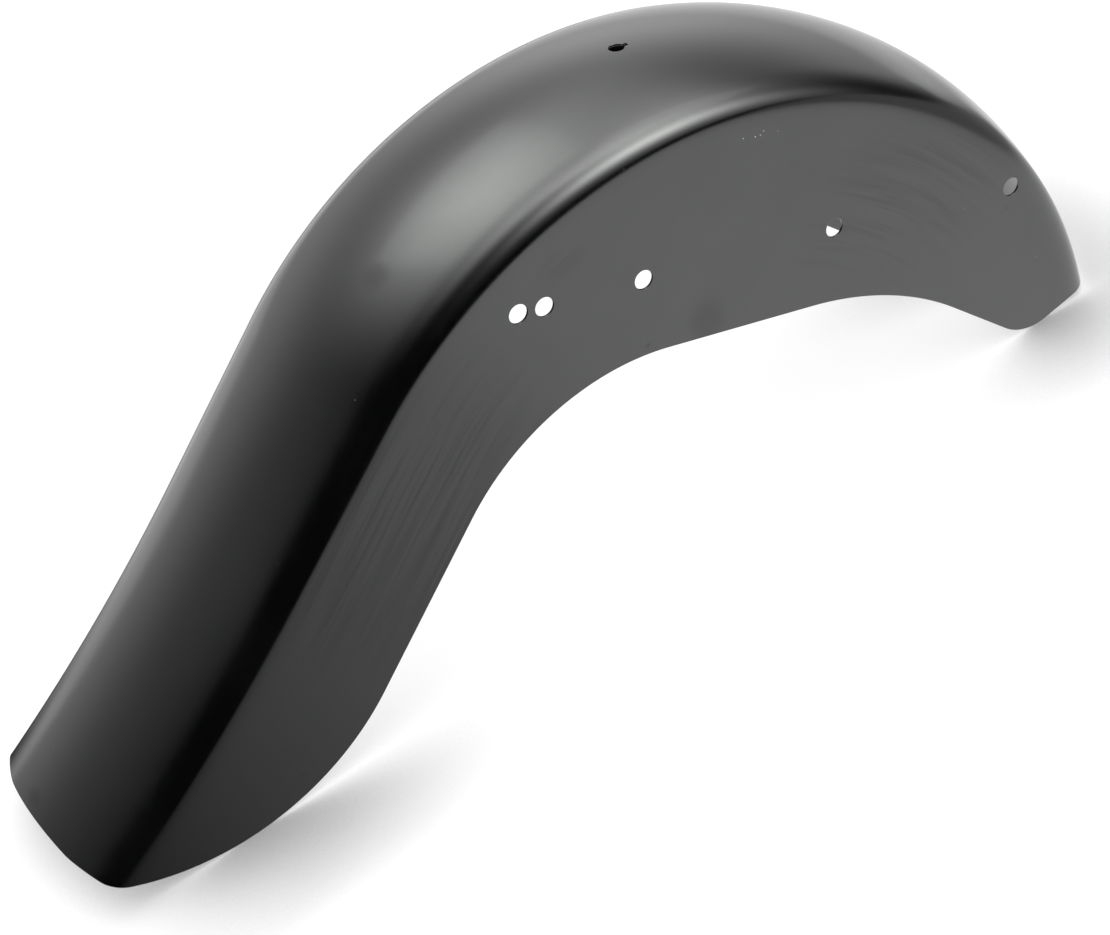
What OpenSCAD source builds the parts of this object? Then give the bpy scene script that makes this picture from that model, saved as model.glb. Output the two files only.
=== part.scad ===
// Stretched rear fender for a motorcycle, standing on its own edges.
// One pressed steel sheet: a domed crown rolls over into two flat side walls,
// follows the wheel, runs on straight and ends in a long tail that kicks outward.
// X runs along the fender with the front at +X, Y across it, Z up from the floor.

/* [Sheet] */
// Outside width across the two side walls
fender_w = 178; // [150:1:230]
// Thickness of the steel sheet
sheet_t = 1.6; // [1:0.1:3]

/* [Crown] */
// Rise of the crown above the tops of the side walls
crown_rise = 31; // [26:1:45]
// Outside radius where the crown rolls over into a side wall
shoulder_r = 17; // [8:1:22]

/* [Wheel arc] */
// Radius of the tops of the side walls about the wheel centre
arc_r = 334; // [320:1:360]
// Height of the wheel centre above the floor
arc_z = -14; // [-30:1:0]
// Angle from the horizontal at which the arc gives way to the tail
arc_end = 130.8; // [125:0.1:135]

/* [Tail] */
// Length of the straight stretch behind the arc
tail_straight = 128; // [90:1:160]
// Radius of the outward kick of the tail, at the tops of the side walls
flare_r = 1416; // [900:1:2500]
// Angle through which the tail kicks outward
flare_angle = 9.6; // [6:0.1:12]

/* [Lower edge] */
// Radius of the rounded lower edge that the tail stands on
foot_r = 185; // [150:1:220]
// Distance of that rounded edge behind the wheel centre
foot_x = 408; // [390:1:430]
// Slope of the edge that climbs from the tail to the rear arch
tail_edge_angle = 41.7; // [36:0.1:46]
// Radius of the rear arch
rear_arch_r = 180; // [120:1:230]
// Slope of the straight edge between the two arches
mid_edge_angle = 18; // [14:0.5:22]
// Height of that straight edge above the floor, over the wheel centre
mid_edge_z = 171; // [155:1:185]
// Radius of the front arch
front_arch_r = 270; // [180:1:300]
// Slope of the edge that drops from the front arch to the front tip
tip_edge_angle = 47.8; // [43:0.1:52]
// Radius of the front tip
tip_r = 42; // [25:1:55]
// Distance of the front tip ahead of the wheel centre
tip_x = 298; // [285:1:305]
// Slope of the straight cut across the front end
front_cut_angle = 9; // [4:0.5:14]

/* [Strut holes] */
// Diameter of the five holes in each side wall
strut_hole_d = 14; // [8:0.5:16]
// Distance of the rearmost hole behind the wheel centre
strut_hole_x = 106.8; // [100:0.1:115]
// Height of the rearmost hole above the floor
strut_hole_z = 265.5; // [255:0.5:270]
// Slope of the row of holes
strut_row_angle = 17.8; // [16:0.1:20]
// Distance along the row from the rearmost hole to the second
strut_step_2 = 20; // [18:0.5:26]
// Distance along the row from the rearmost hole to the third
strut_step_3 = 98; // [80:1:120]
// Distance along the row from the rearmost hole to the fourth
strut_step_4 = 258; // [230:1:280]
// Distance along the row from the rearmost hole to the fifth
strut_step_5 = 420; // [400:1:430]
// Drop of the fifth hole below the row
strut_drop_5 = 6; // [0:0.5:12]

/* [Seat hole] */
// Diameter of the seat screw hole in the crown
seat_hole_d = 11; // [6:0.5:16]
// Angle of the seat screw hole about the wheel centre, from the horizontal
seat_hole_angle = 81.2; // [70:0.1:100]
// Width of the notch at the front of the seat screw hole
seat_notch_w = 4; // [2:0.5:6]
// Distance that the notch reaches past the edge of the hole
seat_notch_len = 3; // [1:0.5:5]

/* [Hidden] */
$fn = 180;
// Clearance by which a cutting tool runs past what it cuts
past = 5;
// Amount by which an arc and what it runs into overlap, so that they cross cleanly
blend = 0.005;
// Half width at the centres of the two shoulder rolls
roll_y = fender_w / 2 - shoulder_r;
// Radius of the crown, which runs into both shoulder rolls
roll_in = shoulder_r - blend;
crown_r = (roll_y * roll_y + crown_rise * crown_rise - roll_in * roll_in)
    / (2 * (crown_rise - roll_in));
crown_c = crown_rise - crown_r;
// Lowest angle of the arc, which the front cut then trims
arc_start = -8;
// Depth to which the walls are swept before the lower edge is cut
wall_reach = arc_r - (mid_edge_z - arc_z) * cos(mid_edge_angle) + 25;
// Height at which the cutting outline closes above the crown
top_z = arc_z + arc_r + crown_rise + past;
// Points of the lower edge as [x, z], from the tail to the front
foot_c = [-foot_x, foot_r];
foot_leave = foot_c + (foot_r - blend) * [sin(tail_edge_angle), -cos(tail_edge_angle)];
tip_c = [tip_x, tip_r];
tip_enter = tip_c + (tip_r - blend) * [-sin(tip_edge_angle), -cos(tip_edge_angle)];
tip_leave = tip_c + (tip_r - blend) * [sin(front_cut_angle), -cos(front_cut_angle)];
mid_point = [0, mid_edge_z];
rear_peak = meet(foot_leave, tail_edge_angle, mid_point, -mid_edge_angle);
front_peak = meet(mid_point, -mid_edge_angle, tip_enter, -tip_edge_angle);
rear_arch = arch_under(rear_peak, tail_edge_angle, -mid_edge_angle, rear_arch_r);
front_arch = arch_under(front_peak, -mid_edge_angle, -tip_edge_angle, front_arch_r);
front_end_x = arc_r + crown_rise + past;
front_end = [front_end_x, tip_leave[1] + (front_end_x - tip_leave[0]) * tan(front_cut_angle)];
// Ends of the crown, from which the middle of the fender is found
crown_front_x = line_meets_crown(tip_leave, front_cut_angle);
tail_turn = arc_end - flare_angle;
tail_end_x = arc_r * cos(arc_end) - tail_straight * sin(arc_end)
    + flare_r * (cos(arc_end) - cos(tail_turn));
crown_tail_x = tail_end_x + crown_rise * cos(tail_turn);
middle_x = (crown_front_x + crown_tail_x) / 2;
// Strut holes as [distance along the row, drop below it]
strut_holes = [
    [0, 0],
    [strut_step_2, 0],
    [strut_step_3, 0],
    [strut_step_4, 0],
    [strut_step_5, strut_drop_5]
];

// Point where a line through p at angle a meets a line through q at angle b
function meet(p, a, q, b) =
    let (d = q - p, s = (d[0] * sin(b) - d[1] * cos(b)) / sin(b - a))
    p + s * [cos(a), sin(a)];

// Where an arch of radius r under the peak at p leaves the edge at angle a,
// where it joins the edge at angle b, and its centre
function arch_under(p, a, b, r) =
    let (
        run = r * tan((a - b) / 2),
        enter = p - run * [cos(a), sin(a)],
        leave = p + run * [cos(b), sin(b)]
    )
    [enter, leave, enter + r * [sin(a), -cos(a)]];

// Distance ahead of the wheel centre where a line through p at angle a meets the crown
function line_meets_crown(p, a) =
    let (
        v = [cos(a), sin(a)],
        d = p - [0, arc_z],
        along = d * v,
        reach = sqrt(along * along - d * d + pow(arc_r + crown_rise, 2))
    )
    p[0] + (reach - along) * v[0];

// Cross-section of the space under the crown, inset from the outside face;
// the crown points along +X and the open side along -X
module arch(inset, depth) {
    half = fender_w / 2 - inset;
    spread = 2 * crown_r / (crown_r - crown_rise);
    translate([-depth, -half]) square([depth, 2 * half]);
    for (side = [-1, 1])
        translate([0, side * roll_y]) circle(shoulder_r - inset);
    intersection() {
        translate([crown_c, 0]) circle(crown_r - inset);
        polygon([
            [0, -roll_y],
            [crown_c - crown_c * spread, -roll_y * spread],
            [crown_c - crown_c * spread, roll_y * spread],
            [0, roll_y]
        ]);
    }
}

// Cross-section of the sheet
module section() {
    difference() {
        arch(0, wall_reach);
        arch(sheet_t, wall_reach + past);
    }
}

// The three stretches of the fender, swept one after the other in the XY plane,
// with the straight one along -Y so that their ends meet exactly
module swept_sheet() {
    rotate_extrude(start = 180 - arc_end + arc_start, angle = arc_end - arc_start)
        translate([arc_r, 0]) section();
    translate([-arc_r, 0, 0])
        rotate([90, 0, 0])
            linear_extrude(tail_straight) mirror([1, 0]) section();
    translate([-arc_r - flare_r, -tail_straight, 0])
        rotate_extrude(start = -flare_angle, angle = flare_angle)
            translate([flare_r, 0]) mirror([1, 0]) section();
}

// Everything above the lower edge, seen from the side
module side_outline() {
    difference() {
        union() {
            polygon([
                foot_c,
                foot_leave,
                rear_arch[0],
                rear_arch[1],
                front_arch[0],
                front_arch[1],
                tip_enter,
                tip_leave,
                front_end,
                [front_end_x, top_z],
                [-foot_x, top_z]
            ]);
            translate(foot_c) circle(foot_r);
            translate(tip_c) circle(tip_r);
        }
        translate(rear_arch[2]) circle(rear_arch_r + blend);
        translate(front_arch[2]) circle(front_arch_r + blend);
    }
}

// Five strut holes, each drilled through both side walls
module strut_drills() {
    for (hole = strut_holes)
        translate([
            hole[0] * cos(strut_row_angle) - hole[1] * sin(strut_row_angle) - strut_hole_x,
            0,
            strut_hole_z - hole[0] * sin(strut_row_angle) - hole[1] * cos(strut_row_angle)
        ])
            rotate([90, 0, 0])
                cylinder(h = fender_w + 2 * past, d = strut_hole_d, center = true);
}

// Seat screw hole with its notch towards the front
module seat_drill() {
    rotate([90, 0, 0])
        rotate([0, 0, seat_hole_angle])
            translate([arc_r + crown_rise, 0, 0]) {
                rotate([0, 90, 0])
                    cylinder(h = 4 * past, d = seat_hole_d, center = true);
                translate([-2 * past, -seat_hole_d / 2 - seat_notch_len, -seat_notch_w / 2])
                    cube([4 * past, seat_hole_d / 2 + seat_notch_len, seat_notch_w]);
            }
}

module fender() {
    color("dimgray")
        translate([-middle_x, 0, 0])
            difference() {
                intersection() {
                    translate([0, 0, arc_z])
                        rotate([90, 0, 0])
                            rotate([0, 0, arc_end - 180]) swept_sheet();
                    rotate([90, 0, 0])
                        linear_extrude(fender_w + 2 * past, center = true) side_outline();
                }
                strut_drills();
                translate([0, 0, arc_z]) seat_drill();
            }
}

fender();
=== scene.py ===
"""Looks of a stretched rear fender: one pressed steel sheet in a satin black primer coat.

The sheet is laid out flat as a blank, its outline and holes are cut, and a Geometry Nodes
tree forms the blank along the fender's centre line and round its cross-section.
"""

import logging
import math
from dataclasses import dataclass, field
from enum import Enum
from functools import partial, reduce

import bpy
import numpy as np
from mathutils import Matrix, Vector
from mathutils.geometry import delaunay_2d_cdt


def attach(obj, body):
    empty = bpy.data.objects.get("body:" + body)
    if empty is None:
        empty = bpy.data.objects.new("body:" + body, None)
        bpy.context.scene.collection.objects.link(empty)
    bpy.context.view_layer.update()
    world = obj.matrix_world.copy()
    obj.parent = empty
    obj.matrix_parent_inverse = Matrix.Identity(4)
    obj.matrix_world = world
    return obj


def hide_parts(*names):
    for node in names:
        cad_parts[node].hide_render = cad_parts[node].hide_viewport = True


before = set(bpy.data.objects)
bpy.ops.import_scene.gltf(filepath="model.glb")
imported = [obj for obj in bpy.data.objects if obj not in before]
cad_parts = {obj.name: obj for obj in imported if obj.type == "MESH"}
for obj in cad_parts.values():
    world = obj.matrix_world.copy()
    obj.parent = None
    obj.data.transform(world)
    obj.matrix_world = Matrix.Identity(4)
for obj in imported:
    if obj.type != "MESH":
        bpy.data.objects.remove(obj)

LOG = logging.getLogger("fender")
MM = 0.001

Point = tuple[float, float]
Place = tuple[float, float, float]
Span = tuple[float, float]
Colour = tuple[float, float, float]
Socket = bpy.types.NodeSocket
Sockets = bpy.types.NodeOutputs


class Skin(Enum):
    """Which layer of the sheet a vertex belongs to."""

    OUTSIDE = 0
    INSIDE = 1
    EDGE = 2


@dataclass(frozen=True)
class FenderSizes:
    """Driving sizes of the fender, in metres and degrees, as in its construction."""

    width: float = 178 * MM
    sheet: float = 1.6 * MM
    crown_rise: float = 31 * MM
    shoulder_r: float = 17 * MM
    arc_r: float = 334 * MM
    arc_z: float = -14 * MM
    arc_end: float = 130.8
    tail_straight: float = 128 * MM
    flare_r: float = 1416 * MM
    flare_angle: float = 9.6
    foot_r: float = 185 * MM
    foot_x: float = 408 * MM
    tail_edge_angle: float = 41.7
    rear_arch_r: float = 180 * MM
    mid_edge_angle: float = 18.0
    mid_edge_z: float = 171 * MM
    front_arch_r: float = 270 * MM
    tip_edge_angle: float = 47.8
    tip_r: float = 42 * MM
    tip_x: float = 298 * MM
    front_cut_angle: float = 9.0
    strut_hole_d: float = 14 * MM
    strut_hole_x: float = 106.8 * MM
    strut_hole_z: float = 265.5 * MM
    strut_row_angle: float = 17.8
    strut_steps: tuple[float, ...] = (0.0, 20 * MM, 98 * MM, 258 * MM, 420 * MM)
    strut_drops: tuple[float, ...] = (0.0, 0.0, 0.0, 0.0, 6 * MM)
    seat_hole_d: float = 11 * MM
    seat_hole_angle: float = 81.2
    seat_notch_w: float = 4 * MM
    seat_notch_len: float = 3 * MM


@dataclass(frozen=True)
class CrossSection:
    """Outside face of the sheet across the fender, measured from the middle of the crown."""

    sizes: FenderSizes
    easing: float = 16 * MM
    easing_samples: int = 25

    @property
    def roll_y(self) -> float:
        """Distance of a shoulder roll's centre from the middle."""
        return self.sizes.width / 2 - self.sizes.shoulder_r

    @property
    def crown_r(self) -> float:
        """Radius of the crown, which runs into both shoulder rolls."""
        rise, roll = self.sizes.crown_rise, self.sizes.shoulder_r
        return (self.roll_y**2 + rise**2 - roll**2) / (2 * (rise - roll))

    @property
    def crown_turn(self) -> float:
        """Angle, in radians, from the middle of the crown to its meeting with a roll."""
        return math.atan2(self.roll_y, self.crown_r - self.sizes.crown_rise)

    @property
    def crown_run(self) -> float:
        """Length along the crown from its middle to a roll."""
        return self.crown_r * self.crown_turn

    @property
    def half_run(self) -> float:
        """Length from the middle of the crown to the top of a side wall."""
        return self.crown_run + self.sizes.shoulder_r * (math.pi / 2 - self.crown_turn)

    def point(self, run: float) -> Point:
        """Finds a place on the cross-section.

        Args:
            run: length along the sheet from the middle, negative to the right side.

        Returns:
            The sideways place and the height above the tops of the side walls.
        """
        side, reach = math.copysign(1.0, run), abs(run)
        if reach <= self.crown_run:
            turn = reach / self.crown_r
            drop = self.crown_r * (1 - math.cos(turn))
            return side * self.crown_r * math.sin(turn), self.sizes.crown_rise - drop
        if reach <= self.half_run:
            turn = self.crown_turn + (reach - self.crown_run) / self.sizes.shoulder_r
            roll = self.sizes.shoulder_r
            return side * (self.roll_y + roll * math.sin(turn)), roll * math.cos(turn)
        return side * self.sizes.width / 2, self.half_run - reach

    def run_at(self, y: float) -> float:
        """Length along the crown at the sideways place y."""
        return self.crown_r * math.asin(y / self.crown_r)

    def soft_turn(self, runs: np.ndarray) -> np.ndarray:
        """Turn of the sheet from the middle, eased from crown to roll as in pressed steel.

        Args:
            runs: lengths along the sheet from the middle, negative to the right side.

        Returns:
            The turns, in radians, averaged over the easing length and signed like the runs.
        """
        offsets = np.linspace(-self.easing, self.easing, self.easing_samples)
        weights = 1 - (offsets / self.easing) ** 2
        near = runs[:, None] + offsets
        stops = [-self.half_run, -self.crown_run, self.crown_run, self.half_run]
        turns = [-math.pi / 2, -self.crown_turn, self.crown_turn, math.pi / 2]
        return (np.interp(near, stops, turns) * weights).sum(1) / weights.sum()


@dataclass(frozen=True)
class CentreLine:
    """Line of the tops of the side walls, from the front end to the end of the tail."""

    sizes: FenderSizes

    @property
    def arc_run(self) -> float:
        """Length of the wheel arc, from the height of the wheel centre."""
        return self.sizes.arc_r * math.radians(self.sizes.arc_end)

    @property
    def length(self) -> float:
        """Whole length of the line."""
        flare = self.sizes.flare_r * math.radians(self.sizes.flare_angle)
        return self.arc_run + self.sizes.tail_straight + flare

    @property
    def straight_end(self) -> Point:
        """Where the straight stretch gives way to the kick of the tail."""
        return self._on_straight(self.sizes.tail_straight)

    def _on_straight(self, along: float) -> Point:
        """Finds a place on the straight stretch.

        Args:
            along: distance from the start of the stretch.

        Returns:
            The place as (x, z), with the wheel centre at x = 0.
        """
        turn = math.radians(self.sizes.arc_end)
        x = self.sizes.arc_r * math.cos(turn) - along * math.sin(turn)
        return x, self.sizes.arc_z + self.sizes.arc_r * math.sin(turn) + along * math.cos(turn)

    @property
    def flare_centre(self) -> Point:
        """Centre of the kick of the tail, outside the fender.

        Returns:
            The centre as (x, z), with the wheel centre at x = 0.
        """
        turn = math.radians(self.sizes.arc_end)
        x, z = self.straight_end
        return x + self.sizes.flare_r * math.cos(turn), z + self.sizes.flare_r * math.sin(turn)

    def at(self, run: float, rise: float = 0.0) -> Point:
        """Finds a place beside the line.

        Args:
            run: length along the line from its front.
            rise: distance outwards from the line.

        Returns:
            The place as (x, z), with the wheel centre at x = 0.
        """
        if run <= self.arc_run:
            turn = run / self.sizes.arc_r
            x = self.sizes.arc_r * math.cos(turn)
            z = self.sizes.arc_z + self.sizes.arc_r * math.sin(turn)
        elif run <= self.arc_run + self.sizes.tail_straight:
            turn = math.radians(self.sizes.arc_end)
            x, z = self._on_straight(run - self.arc_run)
        else:
            turned = (run - self.arc_run - self.sizes.tail_straight) / self.sizes.flare_r
            turn = math.radians(self.sizes.arc_end) - turned
            x = self.flare_centre[0] - self.sizes.flare_r * math.cos(turn)
            z = self.flare_centre[1] - self.sizes.flare_r * math.sin(turn)
        return x + rise * math.cos(turn), z + rise * math.sin(turn)

    def locate(self, place: Point) -> Point:
        """Finds where a place lies beside the line.

        Args:
            place: the place as (x, z), with the wheel centre at x = 0.

        Returns:
            The length along the line and the distance outwards from it.
        """
        x, z = place[0], place[1] - self.sizes.arc_z
        end = math.radians(self.sizes.arc_end)
        start_x, start_z = self._on_straight(0.0)
        along = -(place[0] - start_x) * math.sin(end) + (place[1] - start_z) * math.cos(end)
        if along <= 0:
            return self.sizes.arc_r * math.atan2(z, x), math.hypot(x, z) - self.sizes.arc_r
        if along <= self.sizes.tail_straight:
            rise = (place[0] - start_x) * math.cos(end) + (place[1] - start_z) * math.sin(end)
            return self.arc_run + along, rise
        away_x, away_z = self.flare_centre[0] - place[0], self.flare_centre[1] - place[1]
        turned = end - math.atan2(away_z, away_x)
        run = self.arc_run + self.sizes.tail_straight + self.sizes.flare_r * turned
        return run, self.sizes.flare_r - math.hypot(away_x, away_z)

    def stretch(self, run: float, rise: float) -> float:
        """Tells how much longer than the line the sheet is beside it.

        Args:
            run: length along the line from its front.
            rise: distance outwards from the line.

        Returns:
            The sheet's length for each length of the line.
        """
        if run <= self.arc_run:
            return 1 + rise / self.sizes.arc_r
        if run <= self.arc_run + self.sizes.tail_straight:
            return 1.0
        return 1 - rise / self.sizes.flare_r


def arc_points(centre: Point, radius: float, start: float, end: float, step: float) -> list[Point]:
    """Points along an arc.

    Args:
        centre: centre of the arc.
        radius: radius of the arc.
        start: angle of the first point, in degrees.
        end: angle of the last point, in degrees.
        step: largest distance between points.

    Returns:
        The points from the start to the end, both included.
    """
    count = max(2, math.ceil(abs(math.radians(end - start)) * radius / step))
    turns = [math.radians(start + (end - start) * i / count) for i in range(count + 1)]
    return [(centre[0] + radius * math.cos(t), centre[1] + radius * math.sin(t)) for t in turns]


def meet(p: Point, a: float, q: Point, b: float) -> Point:
    """Finds where two lines meet.

    Args:
        p: a point of the first line.
        a: slope of the first line, in degrees.
        q: a point of the second line.
        b: slope of the second line, in degrees.

    Returns:
        The point that both lines go through.
    """
    a, b = math.radians(a), math.radians(b)
    along = ((q[0] - p[0]) * math.sin(b) - (q[1] - p[1]) * math.cos(b)) / math.sin(b - a)
    return p[0] + along * math.cos(a), p[1] + along * math.sin(a)


def fill_steps(points: list[Point], step: float) -> list[Point]:
    """Adds points to a polyline.

    Args:
        points: the corners of the polyline.
        step: largest distance between points.

    Returns:
        The corners and the points between them.
    """
    filled = [points[0]]
    for p, q in zip(points, points[1:]):
        count = max(1, math.ceil(math.dist(p, q) / step))
        filled += [(p[0] + (q[0] - p[0]) * i / count, p[1] + (q[1] - p[1]) * i / count)
                   for i in range(1, count + 1)]
    return filled


@dataclass(frozen=True)
class SideOutline:
    """Lower edge of the side walls and the two ends, seen from the side."""

    sizes: FenderSizes
    line: CentreLine
    step: float = 3 * MM
    halvings: int = 40

    @property
    def foot(self) -> Point:
        """Centre of the rounded edge that the tail stands on."""
        return -self.sizes.foot_x, self.sizes.foot_r

    @property
    def tip(self) -> Point:
        """Centre of the rounded front tip."""
        return self.sizes.tip_x, self.sizes.tip_r

    def _tangent(self, centre: Point, radius: float, slope: float) -> Point:
        """Place at the bottom of a circle where its edge has a slope, in degrees."""
        turn = math.radians(slope)
        return centre[0] + radius * math.sin(turn), centre[1] - radius * math.cos(turn)

    def _arch(self, p: Point, a: float, b: float, radius: float) -> list[Point]:
        """Draws an arch of the lower edge, from front to tail.

        Args:
            p: the peak in which the edges beside the arch would meet.
            a: slope of the edge behind the arch, in degrees.
            b: slope of the edge ahead of the arch, in degrees.
            radius: radius of the arch.

        Returns:
            The points of the arch as (x, z).
        """
        run = radius * math.tan(math.radians(a - b) / 2)
        turn = math.radians(a)
        start = p[0] - run * math.cos(turn), p[1] - run * math.sin(turn)
        centre = start[0] + radius * math.sin(turn), start[1] - radius * math.cos(turn)
        return arc_points(centre, radius, 90 + b, 90 + a, self.step)

    def front_run(self, rise: float) -> float:
        """Finds where the front cut meets the sheet.

        Args:
            rise: distance of the sheet outwards from the centre line.

        Returns:
            The length along the centre line.
        """
        turn = math.radians(self.sizes.front_cut_angle)
        x, z = self._tangent(self.tip, self.sizes.tip_r, self.sizes.front_cut_angle)
        z -= self.sizes.arc_z
        along = x * math.cos(turn) + z * math.sin(turn)
        reach = math.sqrt(along**2 - x**2 - z**2 + (self.sizes.arc_r + rise) ** 2) - along
        x, z = x + reach * math.cos(turn), z + reach * math.sin(turn)
        return self.sizes.arc_r * math.atan2(z, x)

    def tail_run(self, rise: float) -> float:
        """Finds where the foot's edge or the end of the tail ends the sheet.

        Args:
            rise: distance of the sheet outwards from the centre line.

        Returns:
            The length along the centre line.
        """
        high = self.line.length
        if math.dist(self.line.at(high, rise), self.foot) <= self.sizes.foot_r:
            return high
        low = high - self.sizes.foot_r / 2
        for _ in range(self.halvings):
            middle = (low + high) / 2
            outside = math.dist(self.line.at(middle, rise), self.foot) > self.sizes.foot_r
            low, high = (low, middle) if outside else (middle, high)
        return low

    def wall_edge(self) -> list[Point]:
        """Draws the edge of a side wall.

        Returns:
            The points from the front corner to the tail corner, as (x, z).
        """
        s = self.sizes
        middle = (0.0, s.mid_edge_z)
        foot_leave = self._tangent(self.foot, s.foot_r, s.tail_edge_angle)
        tip_enter = self._tangent(self.tip, s.tip_r, -s.tip_edge_angle)
        rear_peak = meet(foot_leave, s.tail_edge_angle, middle, -s.mid_edge_angle)
        front_peak = meet(middle, -s.mid_edge_angle, tip_enter, -s.tip_edge_angle)
        tail_corner = self.line.at(self.tail_run(0.0))
        away_x, away_z = tail_corner[0] - self.foot[0], tail_corner[1] - self.foot[1]
        tail_turn = math.degrees(math.atan2(away_z, away_x))
        points = [self.line.at(self.front_run(0.0))]
        points += arc_points(self.tip, s.tip_r, s.front_cut_angle - 90, -s.tip_edge_angle - 90,
                             self.step)
        points += self._arch(front_peak, -s.mid_edge_angle, -s.tip_edge_angle, s.front_arch_r)
        points += self._arch(rear_peak, s.tail_edge_angle, -s.mid_edge_angle, s.rear_arch_r)
        points += arc_points(self.foot, s.foot_r, s.tail_edge_angle - 90, tail_turn, self.step)
        return fill_steps(points, self.step)

    def middle_x(self) -> float:
        """Finds the middle of the fender's length.

        Returns:
            Its distance ahead of the wheel centre.
        """
        front = self.line.at(self.front_run(self.sizes.crown_rise), self.sizes.crown_rise)
        tail = self.line.at(self.line.length, self.sizes.crown_rise)
        return (front[0] + tail[0]) / 2


@dataclass
class FlatBlank:
    """The sheet laid out flat: its outline, its holes and the mesh of both faces.

    Lengths along the fender run towards -X from its front, lengths across it run along Y
    from the middle, and the sheet's depth runs towards -Z from its outside face.
    """

    sizes: FenderSizes
    section: CrossSection
    line: CentreLine
    outline: SideOutline
    grid: float = 4 * MM
    edge_round: float = 0.35 * MM
    crown_columns: int = 14
    roll_columns: int = 13
    wall_columns: tuple[float, float, float] = (5 * MM, 200 * MM, 7 * MM)
    end_crown_columns: int = 48
    end_roll_columns: int = 14
    strut_ring_step: float = 0.8 * MM
    seat_ring_step: float = 0.6 * MM
    edge_clearance: float = 0.45
    mitre_limit: float = 0.8
    loops: list[np.ndarray] = field(default_factory=list)

    def _across(self) -> list[float]:
        """Chooses where across the sheet it gets vertices, closer on the rolls.

        Returns:
            The places, from the right edge to the left.
        """
        crown, half = self.section.crown_run, self.section.half_run
        first, last, step = self.wall_columns
        runs = list(np.linspace(0.0, crown, self.crown_columns))
        runs += list(np.linspace(crown, half, self.roll_columns)[1:])
        runs += list(np.arange(half + first, half + last, step))
        return [-r for r in reversed(runs[1:])] + runs

    def _outer_loop(self) -> list[Point]:
        """Draws the outline of the blank.

        Returns:
            The points as (run, across), in order round the blank.
        """
        half, crown = self.section.half_run, self.section.crown_run
        across = np.concatenate([np.linspace(-half, -crown, self.end_roll_columns)[:-1],
                                 np.linspace(-crown, crown, self.end_crown_columns),
                                 np.linspace(crown, half, self.end_roll_columns)[1:]])
        rises = [self.section.point(v)[1] for v in across]
        front = [(self.outline.front_run(r), v) for r, v in zip(rises, across)]
        tail = [(self.outline.tail_run(r), v) for r, v in zip(rises, across)]
        edge = [self.line.locate(p) for p in self.outline.wall_edge()][1:-1]
        left = [(run, half - rise) for run, rise in edge]
        right = [(run, rise - half) for run, rise in edge]
        return front[::-1] + right + tail + left[::-1]

    def _strut_loops(self) -> list[list[Point]]:
        """Draws the strut holes in both walls.

        Returns:
            The outline of each hole, as (run, across).
        """
        s = self.sizes
        turn = math.radians(s.strut_row_angle)
        half = self.section.half_run
        loops = []
        for step, drop in zip(s.strut_steps, s.strut_drops):
            x = step * math.cos(turn) - drop * math.sin(turn) - s.strut_hole_x
            z = s.strut_hole_z - step * math.sin(turn) - drop * math.cos(turn)
            ring = arc_points((x, z), s.strut_hole_d / 2, 0, 360, self.strut_ring_step)[:-1]
            places = [self.line.locate(p) for p in ring]
            for side in (1, -1):
                loops.append([(run, side * (half - rise)) for run, rise in places])
        return loops

    def _seat_loop(self) -> list[Point]:
        """Draws the seat screw hole with its notch.

        Returns:
            The outline as (run, across).
        """
        s = self.sizes
        radius, half = s.seat_hole_d / 2, s.seat_notch_w / 2
        open_turn = math.degrees(math.asin(half / radius))
        ring = arc_points((0, 0), radius, 180 + open_turn, 540 - open_turn, self.seat_ring_step)
        reach = -radius - s.seat_notch_len
        corners = [ring[-1], (reach, half), (reach, -half), ring[0]]
        notch = fill_steps(corners, self.seat_ring_step)[1:-1]
        loop = []
        for forward, y in ring + notch:
            across = self.section.run_at(y)
            rise = self.section.point(across)[1]
            turn = math.radians(s.seat_hole_angle) + math.asin(forward / (s.arc_r + rise))
            loop.append((s.arc_r * turn, across))
        return loop

    def _inset(self, loop: np.ndarray, depth: float) -> np.ndarray:
        """Moves a loop into the sheet by a true length.

        Args:
            loop: the loop's points as (run, across), with the sheet on its left.
            depth: how far the points move.

        Returns:
            The moved points.
        """
        rise = np.minimum(self.section.half_run - np.abs(loop[:, 1]), self.sizes.crown_rise)
        inside = np.abs(loop[:, 1]) < self.section.half_run
        rise[inside] = [self.section.point(v)[1] for v in loop[inside, 1]]
        scale = np.array([self.line.stretch(r, n) for r, n in zip(loop[:, 0], rise)])
        before, after = loop - np.roll(loop, 1, 0), np.roll(loop, -1, 0) - loop
        normals = []
        for way in (before, after):
            along = np.stack([way[:, 0] * scale, way[:, 1]], 1)
            along /= np.linalg.norm(along, axis=1, keepdims=True)
            normals.append(np.stack([-along[:, 1], along[:, 0]], 1))
        sum_of = normals[0] + normals[1]
        mitre = 2 / np.maximum((sum_of**2).sum(1, keepdims=True), self.mitre_limit)
        move = sum_of * mitre * depth
        return loop + np.stack([move[:, 0] / scale, move[:, 1]], 1)

    def _inside(self, points: np.ndarray, loop: np.ndarray) -> np.ndarray:
        """Tells which points lie inside a loop.

        Args:
            points: the points to test.
            loop: the corners of the loop, in order.

        Returns:
            True for each point inside.
        """
        result = np.zeros(len(points), bool)
        for p, q in zip(loop, np.roll(loop, -1, 0)):
            if p[1] == q[1]:
                continue
            crosses = (p[1] > points[:, 1]) != (q[1] > points[:, 1])
            at = p[0] + (points[:, 1] - p[1]) * (q[0] - p[0]) / (q[1] - p[1])
            result ^= crosses & (points[:, 0] < at)
        return result

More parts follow.
